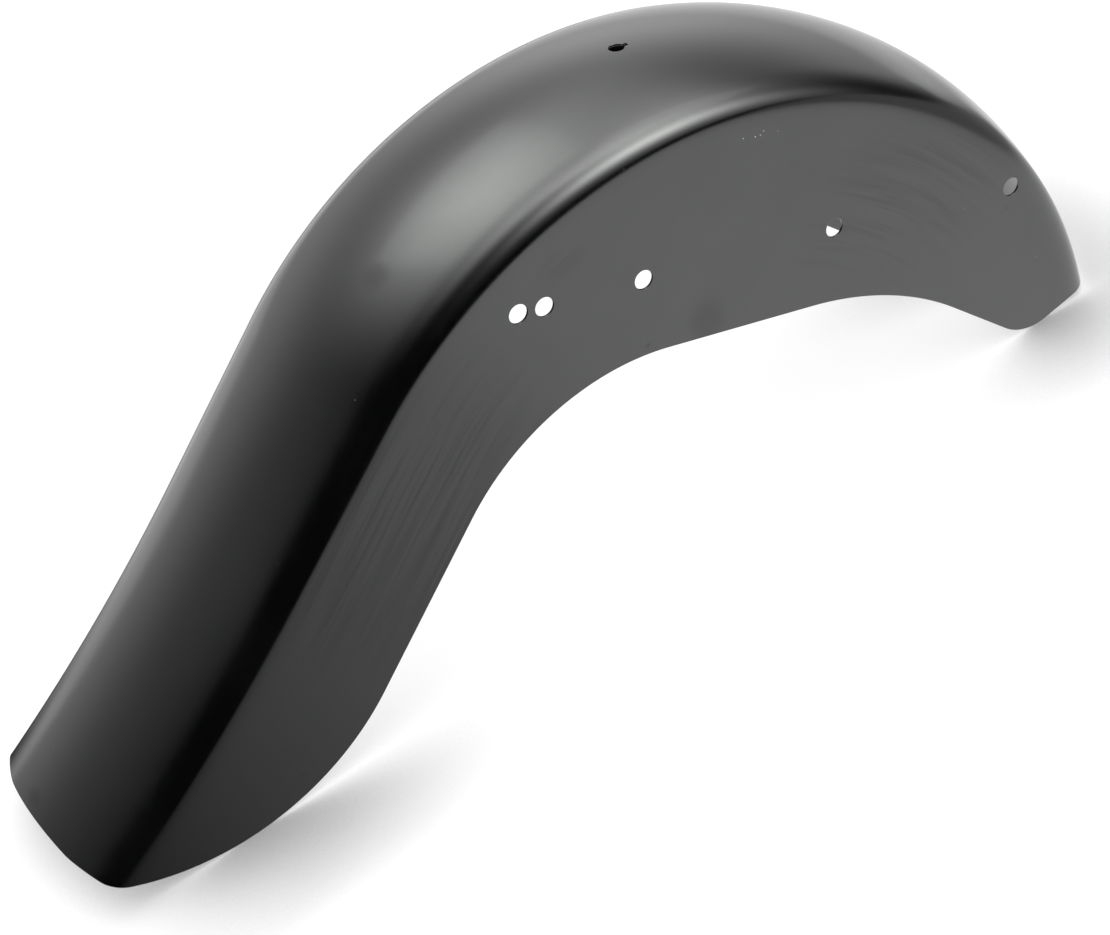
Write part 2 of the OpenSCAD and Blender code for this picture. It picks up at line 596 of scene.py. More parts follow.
    def _field(self) -> np.ndarray:
        """Lays out the vertices of a face away from its outline and holes.

        Returns:
            The vertices as (run, across).
        """
        runs = np.arange(self.grid, self.line.length, self.grid)
        across = np.array(self._across())
        points = np.stack(np.meshgrid(runs, across, indexing="ij"), -1).reshape(-1, 2)
        points = points[self._inside(points, self.loops[0])]
        for loop in self.loops:
            near = np.full(len(points), np.inf)
            for corner in loop:
                near = np.minimum(near, ((points - corner) ** 2).sum(1))
            points = points[near > (self.edge_clearance * self.grid) ** 2]
        for hole in self.loops[1:]:
            points = points[~self._inside(points, hole)]
        return points

    def build(self) -> bpy.types.Mesh:
        """Builds the flat blank as a closed mesh.

        Returns:
            The mesh, with each vertex's layer in the attribute "skin" and the turn of its
            normal from the middle in the attribute "turn".
        """
        outer = np.array(self._outer_loop())
        holes = [np.array(loop) for loop in self._strut_loops() + [self._seat_loop()]]
        self.loops = [self._turned(outer, True)] + [self._turned(hole, False) for hole in holes]
        insets = [self._inset(loop, self.edge_round) for loop in self.loops]
        face_points = np.concatenate(insets + [self._field()])
        edges, first = [], 0
        for loop in insets:
            count = len(loop)
            edges += [(first + i, first + (i + 1) % count) for i in range(count)]
            first += count
        triangles = self._triangles(face_points, edges, insets)
        return self._thicken(face_points, triangles)

    @staticmethod
    def _turned(loop: np.ndarray, counter_clockwise: bool) -> np.ndarray:
        """Gives a loop the asked direction.

        Args:
            loop: the corners of the loop.
            counter_clockwise: whether the loop is to run counter-clockwise.

        Returns:
            The corners in the asked order.
        """
        after = np.roll(loop, -1, 0)
        area = (loop[:, 0] * after[:, 1] - after[:, 0] * loop[:, 1]).sum()
        return loop if (area > 0) == counter_clockwise else loop[::-1]

    def _triangles(self, points: np.ndarray, edges: list[tuple[int, int]],
                   insets: list[np.ndarray]) -> np.ndarray:
        """Joins a face's points by triangles that leave the holes open.

        Args:
            points: the points of the face, as (run, across).
            edges: pairs of points that have to be joined.
            insets: the outline and the holes, moved into the sheet.

        Returns:
            The corners of each triangle.
        """
        inside_only, closeness, in_mm = 1, 1e-6, 1000
        places = [Vector(p) * in_mm for p in points]
        found = delaunay_2d_cdt(places, edges, [], inside_only, closeness)
        back = [origins[0] for origins in found[3]]
        triangles = np.array([[back[v] for v in face] for face in found[2]])
        centres = points[triangles].mean(1)
        open_place = np.zeros(len(centres), bool)
        for hole in insets[1:]:
            open_place |= self._inside(centres, hole)
        return triangles[~open_place]

    def _thicken(self, points: np.ndarray, triangles: np.ndarray) -> bpy.types.Mesh:
        """Gives the sheet its thickness, with rounded edges along every loop.

        Args:
            points: the points of a face, as (run, across).
            triangles: the corners of the face's triangles.

        Returns:
            The closed mesh.
        """
        sheet, corner = self.sizes.sheet, self.edge_round
        half_way = corner * (1 - math.sqrt(0.5))
        rings = ((half_way, half_way), (0.0, corner),
                 (0.0, sheet - corner), (half_way, sheet - half_way))
        flat = [self._placed(points, 0.0), self._placed(points, sheet)]
        count = len(points)
        faces = [triangles[:, ::-1], triangles + count]
        layers = [np.full(count, Skin.OUTSIDE.value), np.full(count, Skin.INSIDE.value)]
        used, first = 2 * count, 0
        for loop in self.loops:
            size = len(loop)
            ids = np.arange(size)
            columns = [first + ids]
            for inset, depth in rings:
                flat.append(self._placed(self._inset(loop, inset), depth))
                layers.append(np.full(size, Skin.EDGE.value))
                columns.append(used + ids)
                used += size
            columns.append(count + first + ids)
            for upper, lower in zip(columns, columns[1:]):
                after_upper, after_lower = np.roll(upper, -1), np.roll(lower, -1)
                faces.append(np.stack([upper, after_upper, lower], 1))
                faces.append(np.stack([after_upper, after_lower, lower], 1))
            first += size
        mesh = bpy.data.meshes.new("flat_blank")
        mesh.from_pydata(np.concatenate(flat).tolist(), [], np.concatenate(faces).tolist())
        skin = mesh.attributes.new("skin", "INT", "POINT")
        skin.data.foreach_set("value", np.concatenate(layers))
        turn = mesh.attributes.new("turn", "FLOAT", "POINT")
        turn.data.foreach_set("value", self.section.soft_turn(np.concatenate(flat)[:, 1]))
        return mesh

    @staticmethod
    def _placed(points: np.ndarray, depth: float) -> np.ndarray:
        """Lays points down on the blank at a depth below its outside face."""
        return np.stack([-points[:, 0], points[:, 1], np.full(len(points), -depth)], 1)


class NodeCanvas:
    """Adds nodes to a tree and joins them."""

    def __init__(self, tree: bpy.types.NodeTree) -> None:
        """Takes the tree to draw in."""
        self.tree = tree

    def add(self, kind: str, inputs: dict[str | int, object] | None = None,
            **settings: object) -> bpy.types.Node:
        """Adds a node.

        Args:
            kind: type name of the node.
            inputs: values or sockets for its inputs, by name or number.
            settings: values for the node's own properties.

        Returns:
            The new node.
        """
        node = self.tree.nodes.new(kind)
        for name, value in settings.items():
            setattr(node, name, value)
        for key, value in (inputs or {}).items():
            if isinstance(value, Socket):
                self.tree.links.new(value, node.inputs[key])
            else:
                node.inputs[key].default_value = value
        return node

    def math(self, operation: str, *values: object) -> Socket:
        """Adds a Math node and returns its result."""
        return self.add("ShaderNodeMath", dict(enumerate(values)), operation=operation).outputs[0]

    def _of_vectors(self, operation: str, values: tuple[object, ...]) -> Sockets:
        """Adds a Vector Math node and returns its outputs."""
        inputs = dict(enumerate(values))
        return self.add("ShaderNodeVectorMath", inputs, operation=operation).outputs

    def vector_math(self, operation: str, *values: object) -> Socket:
        """Adds a Vector Math node and returns the vector it gives."""
        return self._of_vectors(operation, values)[0]

    def vector_number(self, operation: str, *values: object) -> Socket:
        """Adds a Vector Math node and returns the number it gives."""
        return self._of_vectors(operation, values)["Value"]

    def scaled(self, vector: Socket, factor: object) -> Socket:
        """Adds a node that scales a vector and returns its result."""
        inputs = {0: vector, "Scale": factor}
        return self.add("ShaderNodeVectorMath", inputs, operation="SCALE").outputs[0]

    def split(self, vector: Socket) -> Sockets:
        """Adds a node that splits a vector and returns its three numbers."""
        return self.add("ShaderNodeSeparateXYZ", {0: vector}).outputs

    def joined(self, x: object = 0.0, y: object = 0.0, z: object = 0.0) -> Socket:
        """Adds a node that joins three numbers and returns the vector."""
        return self.add("ShaderNodeCombineXYZ", {0: x, 1: y, 2: z}).outputs[0]

    def mapped(self, value: Socket, span: Span, to: Span = (0.0, 1.0),
               **settings: object) -> Socket:
        """Adds a node that maps a span of values onto another.

        Args:
            value: the value to map.
            span: the span it lies in, past which it is held.
            to: the span that it is mapped onto.
            settings: values for the node's own properties.

        Returns:
            The mapped value.
        """
        inputs = {"Value": value, "From Min": span[0], "From Max": span[1],
                  "To Min": to[0], "To Max": to[1]}
        return self.add("ShaderNodeMapRange", inputs, **settings).outputs[0]

    def mixed(self, factor: Socket, a: object, b: object) -> Socket:
        """Adds a node that mixes two numbers and returns the result."""
        return self.add("ShaderNodeMix", {0: factor, 2: a, 3: b}, data_type="FLOAT").outputs[0]

    def mixed_colour(self, factor: Socket, a: object, b: object) -> Socket:
        """Adds a node that mixes two colours and returns the result."""
        return self.add("ShaderNodeMix", {0: factor, 6: a, 7: b}, data_type="RGBA").outputs[2]

    def mixed_shader(self, factor: Socket, a: bpy.types.Node, b: bpy.types.Node) -> bpy.types.Node:
        """Adds a node that mixes two shaders."""
        return self.add("ShaderNodeMixShader", {0: factor, 1: a.outputs[0], 2: b.outputs[0]})


def empty_material(name: str) -> bpy.types.Material:
    """Makes a material with no nodes yet.

    Args:
        name: name of the material.

    Returns:
        The material.
    """
    material = bpy.data.materials.new(name)
    material.use_nodes = True
    material.node_tree.nodes.clear()
    return material


@dataclass(frozen=True)
class FormingTree:
    """Geometry Nodes tree that forms a flat blank along a line and round a section."""

    name: str = "form_sheet"
    normal_attribute: str = "sheet_normal"
    turn_attribute: str = "turn"

    def build(self) -> bpy.types.NodeTree:
        """Builds the tree.

        Returns:
            The tree, with the inputs Blank, Centre Line, Cross Section, Section Middle
            and Coat, and the output Sheet.
        """
        tree = bpy.data.node_groups.new(self.name, "GeometryNodeTree")
        for label, kind in (("Blank", "Geometry"), ("Centre Line", "Object"),
                            ("Cross Section", "Object"), ("Section Middle", "Float"),
                            ("Coat", "Material")):
            tree.interface.new_socket(label, in_out="INPUT", socket_type="NodeSocket" + kind)
        tree.interface.new_socket("Sheet", in_out="OUTPUT", socket_type="NodeSocketGeometry")
        canvas = NodeCanvas(tree)
        given = canvas.add("NodeGroupInput").outputs
        flat = canvas.split(canvas.add("GeometryNodeInputPosition").outputs[0])
        line = self._sample(canvas, given["Centre Line"], canvas.math("MULTIPLY", flat[0], -1.0))
        along_section = canvas.math("ADD", flat[1], given["Section Middle"])
        section = self._sample(canvas, given["Cross Section"], along_section)
        upward, sideways = self._normals(canvas, line, section)
        place = canvas.split(section["Position"])
        raised = canvas.vector_math("ADD", line["Position"], canvas.scaled(upward, place[2]))
        outside = canvas.vector_math("ADD", raised, canvas.joined(y=place[1]))
        formed = canvas.vector_math("ADD", outside, canvas.scaled(sideways, flat[2]))
        kept = canvas.add("GeometryNodeStoreNamedAttribute",
                          {"Geometry": given["Blank"], "Name": self.normal_attribute,
                           "Value": self._shown_normal(canvas, upward)},
                          data_type="FLOAT_VECTOR", domain="POINT")
        moved = canvas.add("GeometryNodeSetPosition", {"Geometry": kept.outputs[0],
                                                       "Position": formed})
        real = canvas.add("GeometryNodeRealizeInstances", {0: moved.outputs[0]})
        coated = canvas.add("GeometryNodeSetMaterial", {"Geometry": real.outputs[0],
                                                        "Material": given["Coat"]})
        canvas.add("NodeGroupOutput", {"Sheet": coated.outputs[0]})
        return tree

    @staticmethod
    def _sample(canvas: NodeCanvas, curve: Socket, length: Socket) -> Sockets:
        """Samples the curve of an object.

        Args:
            canvas: the tree to draw in.
            curve: the object.
            length: length along its curve.

        Returns:
            The outputs Position and Tangent, among others.
        """
        geometry = canvas.add("GeometryNodeObjectInfo", {"Object": curve}).outputs["Geometry"]
        return canvas.add("GeometryNodeSampleCurve", {"Curves": geometry, "Length": length},
                          mode="LENGTH", use_all_curves=True).outputs

    @staticmethod
    def _normals(canvas: NodeCanvas, line: Sockets, section: Sockets) -> tuple[Socket, Socket]:
        """Works out which ways lead outwards.

        Args:
            canvas: the tree to draw in.
            line: outputs of the sampled centre line.
            section: outputs of the sampled cross-section.

        Returns:
            The outward normal of the line and that of the sheet.
        """
        upward = canvas.vector_math("CROSS_PRODUCT", (0.0, 1.0, 0.0), line["Tangent"])
        upward = canvas.vector_math("NORMALIZE", upward)
        slope = canvas.split(section["Tangent"])
        aside = canvas.joined(y=canvas.math("MULTIPLY", slope[2], -1.0))
        sheet = canvas.vector_math("ADD", canvas.scaled(upward, slope[1]), aside)
        return upward, canvas.vector_math("NORMALIZE", sheet)

    def _shown_normal(self, canvas: NodeCanvas, upward: Socket) -> Socket:
        """Works out the normal that the sheet is shaded with.

        Args:
            canvas: the tree to draw in.
            upward: outward normal of the line.

        Returns:
            The normal that turns from the line's by the turn kept on the blank.
        """
        turn = canvas.add("GeometryNodeInputNamedAttribute", {"Name": self.turn_attribute},
                          data_type="FLOAT").outputs[0]
        leaned = canvas.joined(y=canvas.math("SINE", turn))
        return canvas.vector_math("ADD", canvas.scaled(upward, canvas.math("COSINE", turn)), leaned)


class Stain(Enum):
    """What a mark does to the coat."""

    DARK = "dark"
    LIGHT = "light"
    RUBBED = "rubbed"


@dataclass(frozen=True)
class Noise:
    """A noise texture: its scale, its detail and the roughness of that detail."""

    scale: float
    detail: float
    roughness: float = 0.5

    def build(self, canvas: NodeCanvas, place: Socket) -> Sockets:
        """Adds the texture and returns its value and its colour."""
        inputs = {"Scale": self.scale, "Detail": self.detail, "Roughness": self.roughness}
        return canvas.add("ShaderNodeTexNoise", {"Vector": place, **inputs}).outputs


@dataclass(frozen=True)
class Mark:
    """A small mark on the coat, as an ellipsoid of influence in the fender's frame."""

    stain: Stain
    place: Place
    reach: Place
    strength: float
    fade: Span = (1.0, 0.25)

    def build(self, canvas: NodeCanvas, place: Socket) -> Socket:
        """Adds the mark's mask.

        Args:
            canvas: the material's node tree.
            place: object coordinates, a little ragged.

        Returns:
            The mask, from 0 outside to the mark's strength in its middle.
        """
        away = canvas.vector_math("SUBTRACT", place, self.place)
        scaled = canvas.vector_math("DIVIDE", away, self.reach)
        return canvas.mapped(canvas.vector_number("LENGTH", scaled), self.fade,
                             (0.0, self.strength), interpolation_type="SMOOTHSTEP")


@dataclass(frozen=True)
class SheetPlaceGroup:
    """Shader node group that unrolls a place into a length along the fender and a height."""

    sizes: FenderSizes
    middle_x: float
    name: str = "place_on_sheet"

    def build(self) -> bpy.types.NodeTree:
        """Builds the group.

        Returns:
            The group, with the input Place and the outputs Run and Rise.
        """
        tree = bpy.data.node_groups.new(self.name, "ShaderNodeTree")
        tree.interface.new_socket("Place", in_out="INPUT", socket_type="NodeSocketVector")
        for label in ("Run", "Rise"):
            tree.interface.new_socket(label, in_out="OUTPUT", socket_type="NodeSocketFloat")
        canvas = NodeCanvas(tree)
        place = canvas.add("NodeGroupInput").outputs["Place"]
        wheel = (-self.middle_x, 0.0, self.sizes.arc_z)
        x, _, z = canvas.split(canvas.vector_math("SUBTRACT", place, wheel))
        end = math.radians(self.sizes.arc_end)
        cos_end, sin_end = math.cos(end), math.sin(end)
        past = canvas.math("SUBTRACT", canvas.math("MULTIPLY", z, cos_end),
                           canvas.math("MULTIPLY", x, sin_end))
        tail_rise = canvas.math("ADD", canvas.math("MULTIPLY", x, cos_end),
                                canvas.math("MULTIPLY", z, sin_end))
        squares = canvas.math("ADD", canvas.math("POWER", x, 2.0), canvas.math("POWER", z, 2.0))
        arc_rise = canvas.math("SQRT", squares)
        arc_run = canvas.math("MULTIPLY", canvas.math("ARCTAN2", z, x), self.sizes.arc_r)
        tail_run = canvas.math("ADD", past, self.sizes.arc_r * end)
        on_tail = canvas.math("GREATER_THAN", past, 0.0)
        canvas.add("NodeGroupOutput", {"Run": canvas.mixed(on_tail, arc_run, tail_run),
                                       "Rise": canvas.mixed(on_tail, arc_rise, tail_rise)})
        return tree


@dataclass(frozen=True)
class StreakGroup:
    """Shader node group that draws lines along the fender, as rolled and rubbed sheet has."""

    name: str = "lines_along_sheet"
    drift: Noise = Noise(7.0, 1.0)
    lines: Noise = Noise(1.0, 3.0, 0.6)

    def build(self) -> bpy.types.NodeTree:
        """Builds the group.

        Returns:
            The group, with the inputs Run, Rise, Per Metre, Stretch and Bend and the output
            Lines, which is around 0.5.
        """
        tree = bpy.data.node_groups.new(self.name, "ShaderNodeTree")
        for label in ("Run", "Rise", "Per Metre", "Stretch", "Bend"):
            tree.interface.new_socket(label, in_out="INPUT", socket_type="NodeSocketFloat")
        tree.interface.new_socket("Lines", in_out="OUTPUT", socket_type="NodeSocketFloat")
        canvas = NodeCanvas(tree)
        given = canvas.add("NodeGroupInput").outputs
        drift = canvas.add("ShaderNodeTexNoise",
                           {"W": given["Run"], "Scale": self.drift.scale,
                            "Detail": self.drift.detail}, noise_dimensions="1D").outputs[0]
        bent = canvas.math("MULTIPLY_ADD", drift, given["Bend"], given["Rise"])
        across = canvas.math("MULTIPLY", bent, given["Per Metre"])
        along = canvas.math("MULTIPLY", given["Run"], given["Stretch"])
        lines = canvas.add("ShaderNodeTexNoise",
                           {"Vector": canvas.joined(along, across), "Scale": self.lines.scale,
                            "Detail": self.lines.detail, "Roughness": self.lines.roughness},
                           noise_dimensions="2D").outputs[0]
        canvas.add("NodeGroupOutput", {"Lines": lines})
        return tree


@dataclass(frozen=True)
class Streaks:
    """Lines along the sheet of one size, drawn by the group of lines."""

    per_metre: float
    stretch: float
    bend: float

    def build(self, canvas: NodeCanvas, group: bpy.types.NodeTree, unrolled: Sockets) -> Socket:
        """Adds the lines.

        Args:
            canvas: the material's node tree.
            group: the group that draws lines.
            unrolled: the outputs Run and Rise of the place on the sheet.

        Returns:
            The lines, around 0.5.
        """
        inputs = {"Run": unrolled["Run"], "Rise": unrolled["Rise"], "Per Metre": self.per_metre,
                  "Stretch": self.stretch, "Bend": self.bend}
        return canvas.add("ShaderNodeGroup", inputs, node_tree=group).outputs["Lines"]


@dataclass(frozen=True)
class Dust:
    """Fine light specks: a few everywhere and a row of them on the marked patches."""

    colour: Colour = (0.42, 0.42, 0.41)
    stray_scale: float = 55.0
    stray_chance: float = 0.10
    stray_size: float = 0.018
    stray_strength: float = 0.45
    grit_scale: float = 330.0
    grit_size: float = 0.16
    patch_edge: float = 0.3

    def build(self, canvas: NodeCanvas, place: Socket, patches: Socket) -> Socket:
        """Adds the specks.

        Args:
            canvas: the material's node tree.
            place: object coordinates.
            patches: mask of the patches with many specks.

        Returns:
            The mask of the specks.
        """
        cells = canvas.add("ShaderNodeTexVoronoi", {"Vector": place, "Scale": self.stray_scale})
        chance = canvas.add("ShaderNodeSeparateColor", {0: cells.outputs["Color"]}).outputs[0]
        rare = canvas.math("LESS_THAN", chance, self.stray_chance)
        near = canvas.math("LESS_THAN", cells.outputs["Distance"], self.stray_size)
        stray = canvas.math("MULTIPLY", canvas.math("MULTIPLY", rare, near), self.stray_strength)
        grit = canvas.add("ShaderNodeTexVoronoi", {"Vector": place, "Scale": self.grit_scale})
        grains = canvas.math("LESS_THAN", grit.outputs["Distance"], self.grit_size)
        on_patch = canvas.math("GREATER_THAN", patches, self.patch_edge)
        return canvas.math("MAXIMUM", stray, canvas.math("MULTIPLY", grains, on_patch))


@dataclass(frozen=True)
class PrimerCoat:
    """Satin black primer coat over the pressed sheet, with the small marks of the photo."""

    sizes: FenderSizes
    middle_x: float
    name: str = "primer_coat"
    deep: Colour = (0.0008, 0.0009, 0.0009)
    dry: Colour = (0.0034, 0.0037, 0.0035)
    tint: Colour = (0.972, 1.0, 0.978)
    dust: Dust = Dust()
    sheen: float = 1.0
    smooth: float = 0.13
    dull: float = 0.22
    smudge_dulling: float = 0.12
    rub_polish: float = 0.25
    dimming: float = 0.28
    dry_dimming: float = 0.35
    smudge_dimming: float = 0.22
    cloud: Noise = Noise(16.0, 4.0, 0.55)
    mottle: Noise = Noise(190.0, 3.0)
    cloud_share: float = 0.7
    dry_span: Span = (0.38, 0.66)
    dryness: Span = (0.1, 0.6)
    fine_streaks: Streaks = Streaks(340.0, 8.0, 0.004)
    broad_streaks: Streaks = Streaks(95.0, 5.0, 0.012)
    fine_share: float = 0.6
    streak_span: Span = (0.42, 0.64)
    wave: Noise = Noise(13.0, 0.0)
    wave_depth: float = 0.22 * MM
    grain: Noise = Noise(850.0, 1.0)
    grain_depth: float = 0.010 * MM
    line_depth: float = 0.006 * MM
    ragged: Noise = Noise(260.0, 2.0)
    ragged_shift: float = 0.0016
    marks: tuple[Mark, ...] = (
        Mark(Stain.LIGHT, (0.1650, -0.089, 0.2953), (0.0060, 0.02, 0.0022), 1.0),
        Mark(Stain.LIGHT, (0.1770, -0.089, 0.2900), (0.0070, 0.02, 0.0026), 1.0),
        Mark(Stain.LIGHT, (0.1900, -0.089, 0.2853), (0.0050, 0.02, 0.0020), 1.0),
        Mark(Stain.DARK, (0.1040, -0.089, 0.1760), (0.0200, 0.02, 0.0240), 0.5),
        Mark(Stain.DARK, (-0.0902, -0.0297, 0.3068), (0.0160, 0.016, 0.0090), 0.9),
        Mark(Stain.DARK, (-0.4350, 0.012, 0.0470), (0.0080, 0.012, 0.0080), 0.8),
        Mark(Stain.DARK, (0.0558, -0.089, 0.1850), (0.0035, 0.02, 0.0022), 0.8),
        Mark(Stain.DARK, (0.3643, -0.089, 0.1159), (0.0016, 0.02, 0.0020), 1.0),
        Mark(Stain.DARK, (-0.2814, -0.089, 0.0233), (0.0024, 0.02, 0.0024), 0.8),
        Mark(Stain.DARK, (-0.3415, -0.089, 0.0273), (0.0050, 0.02, 0.0016), 0.7),
        Mark(Stain.DARK, (-0.3179, -0.089, 0.0586), (0.0018, 0.02, 0.0018), 0.7),
        Mark(Stain.RUBBED, (-0.1500, -0.089, 0.1750), (0.1700, 0.03, 0.1500), 0.9),
        Mark(Stain.RUBBED, (0.2750, -0.089, 0.1750), (0.1500, 0.03, 0.1000), 0.6),
        Mark(Stain.RUBBED, (0.0120, -0.089, 0.2800), (0.0300, 0.02, 0.0220), 0.8),
    )

    def _masks(self, canvas: NodeCanvas, place: Socket) -> dict[Stain, Socket]:
        """Adds up the masks of the marks of each kind.

        Args:
            canvas: the material's node tree.
            place: object coordinates.

        Returns:
            The mask of each kind of mark.
        """
        ragged = self.ragged.build(canvas, place)[1]
        shift = canvas.vector_math("SUBTRACT", ragged, (0.5, 0.5, 0.5))
        moved = canvas.vector_math("ADD", place, canvas.scaled(shift, self.ragged_shift))
        masks: dict[Stain, Socket] = {}
        for mark in self.marks:
            mask = mark.build(canvas, moved)
            if mark.stain in masks:
                mask = canvas.math("MAXIMUM", masks[mark.stain], mask)
            masks[mark.stain] = mask
        return masks

    @staticmethod
    def _blend(canvas: NodeCanvas, a: Socket, b: Socket, share: float) -> Socket:
        """Adds up two patterns, the first with its share and the second with the rest."""
        return canvas.math("MULTIPLY_ADD", a, share, canvas.math("MULTIPLY", b, 1 - share))

    def _relief(self, canvas: NodeCanvas, place: Socket, lines: Socket) -> Socket:
        """Adds the sheet's slight waves, the rubbed lines and the fine grain of the spray.

        Args:
            canvas: the material's node tree.
            place: object coordinates.
            lines: the fine lines along the sheet.

        Returns:
            The bumped normal.
        """
        wave, grain = self.wave.build(canvas, place)[0], self.grain.build(canvas, place)[0]
        ridges = canvas.math("MULTIPLY", lines, self.line_depth)
        fine = canvas.math("MULTIPLY_ADD", grain, self.grain_depth, ridges)
        height = canvas.math("MULTIPLY_ADD", wave, self.wave_depth, fine)
        inputs = {"Height": height, "Strength": 1.0, "Distance": 1.0}
        return canvas.add("ShaderNodeBump", inputs).outputs[0]

    def _tone(self, canvas: NodeCanvas, worn: Socket, smudged: Socket, dusty: Socket) -> Socket:
        """Mixes the coat's colour.

        Args:
            canvas: the material's node tree.
            worn: how dry or rubbed the coat is.
            smudged: mask of the dark marks.
            dusty: mask of the light specks.

        Returns:
            The colour.
        """
        deep, dry, dust = ((*colour, 1.0) for colour in (self.deep, self.dry, self.dust.colour))
        tone = canvas.mixed_colour(worn, deep, dry)
        tone = canvas.mixed_colour(smudged, tone, deep)
        return canvas.mixed_colour(dusty, tone, dust)

    def build(self) -> bpy.types.Material:
        """Builds the material.

        Returns:
            The material, ready for the sheet.
        """
        material = empty_material(self.name)
        canvas = NodeCanvas(material.node_tree)
        place = canvas.add("ShaderNodeTexCoord").outputs["Object"]
        masks = self._masks(canvas, place)
        smudged = masks[Stain.DARK]
        unroll = SheetPlaceGroup(self.sizes, self.middle_x).build()
        unrolled = canvas.add("ShaderNodeGroup", {"Place": place}, node_tree=unroll).outputs
        group = StreakGroup().build()
        fine = self.fine_streaks.build(canvas, group, unrolled)
        broad = self.broad_streaks.build(canvas, group, unrolled)
        cloud, mottle = self.cloud.build(canvas, place)[0], self.mottle.build(canvas, place)[0]
        plain = self._blend(canvas, cloud, mottle, self.cloud_share)
        dryness = canvas.mapped(plain, self.dry_span, self.dryness)
        lines = self._blend(canvas, fine, broad, self.fine_share)
        streaked = canvas.mapped(lines, self.streak_span)
        rubbed = canvas.math("MULTIPLY", streaked, masks[Stain.RUBBED])
        tone = self._tone(canvas, canvas.math("MAXIMUM", dryness, rubbed), smudged,
                          self.dust.build(canvas, place, masks[Stain.LIGHT]))
        polish = canvas.math("SUBTRACT", dryness, canvas.math("MULTIPLY", rubbed, self.rub_polish))
        rough = canvas.mapped(polish, (0.0, 1.0), (self.smooth, self.dull))
        rough = canvas.math("MULTIPLY_ADD", smudged, self.smudge_dulling, rough)
        # A black metal reflects next to nothing, so a little of it dims the worn places.
        worn = canvas.math("MAXIMUM", canvas.math("MULTIPLY", dryness, self.dry_dimming), rubbed)
        dimmed = canvas.math("MULTIPLY_ADD", smudged, self.smudge_dimming,
                             canvas.math("MULTIPLY", worn, self.dimming))
        shader = canvas.add("ShaderNodeBsdfPrincipled",
                            {"Base Color": tone, "Roughness": rough, "Metallic": dimmed,
                             "Specular IOR Level": self.sheen,
                             "Specular Tint": (*self.tint, 1.0),
                             "Normal": self._relief(canvas, place, fine)})
        canvas.add("ShaderNodeOutputMaterial", {"Surface": shader.outputs[0]})
        return material


